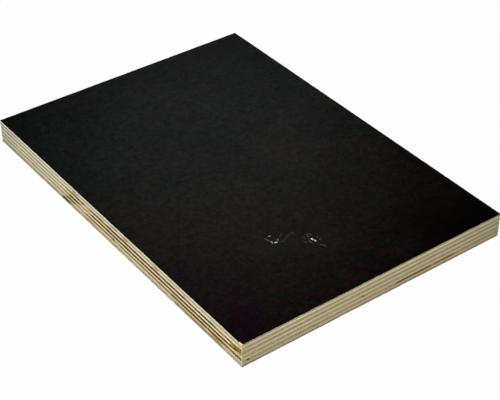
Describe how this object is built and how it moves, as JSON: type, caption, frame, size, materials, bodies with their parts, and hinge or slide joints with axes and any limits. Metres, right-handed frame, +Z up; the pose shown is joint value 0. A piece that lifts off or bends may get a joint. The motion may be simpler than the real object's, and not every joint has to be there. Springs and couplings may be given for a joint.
{
  "type": "film-faced plywood sheet",
  "caption": "Flat rectangular plywood panel with dark phenolic film on both faces and cross-laminated veneers showing on its bare sawn edges, for formwork, shelves and vehicle floors.",
  "frame": {"origin": "the middle of the underside", "axes": "+X along the length and the grain of the face veneer, +Y across the width, +Z up through the thickness"},
  "size_m": [0.297, 0.21, 0.018],
  "materials": {
    "film": "satin",
    "outer_veneer": "matte",
    "core_veneer": "matte",
    "crossband": "matte"
  },
  "bodies": {
    "root": {"back_film": "film", "back_veneer": "outer_veneer", "crossband_1": "crossband", "crossband_2": "crossband", "crossband_3": "crossband", "crossband_4": "crossband", "crossband_5": "crossband", "core_veneer_1": "core_veneer", "core_veneer_2": "core_veneer", "core_veneer_3": "core_veneer", "core_veneer_4": "core_veneer", "face_veneer": "outer_veneer", "face_film": "film"}
  },
  "joints": []
}
